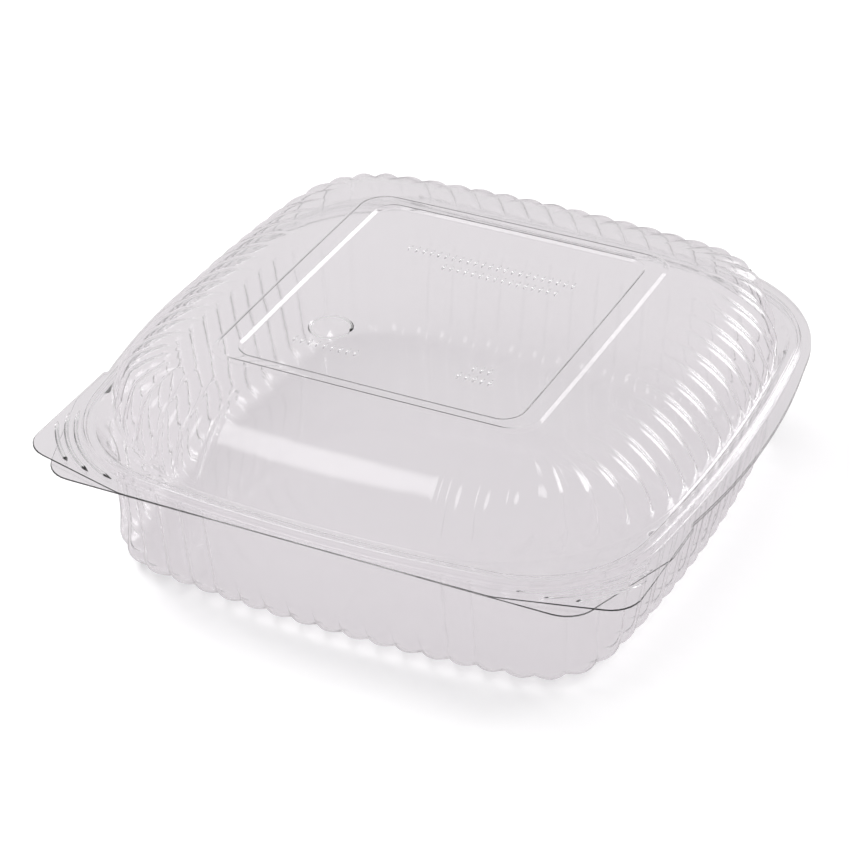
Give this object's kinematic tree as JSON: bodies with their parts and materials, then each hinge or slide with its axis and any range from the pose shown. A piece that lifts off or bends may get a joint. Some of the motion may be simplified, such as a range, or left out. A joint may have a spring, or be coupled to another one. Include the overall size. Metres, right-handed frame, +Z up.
{
  "type": "hinged clear food container",
  "caption": "Square clear clamshell box: deep fluted tray, shallow domed lid with a raised frame, snap rim and corner lift tabs, lid on a hinge at the back.",
  "frame": {"origin": "middle of the box's outline, on the surface that the tray stands on", "axes": "+X along the front edge to the right, +Y from the front towards the hinge, +Z up"},
  "size_m": [0.2082, 0.2066, 0.0725],
  "materials": {
    "clear_plastic": "clear, faintly grey, glossy thermoformed sheet"
  },
  "bodies": {
    "tray": {"tray": "clear_plastic"},
    "lid": {"lid": "clear_plastic"}
  },
  "joints": [
    {"name": "lid_hinge", "type": "hinge", "parent": "tray", "child": "lid", "pos_m": [0, 0.1033, 0.0438], "axis": [-1, 0, 0], "range_deg": [0, 180]}
  ]
}
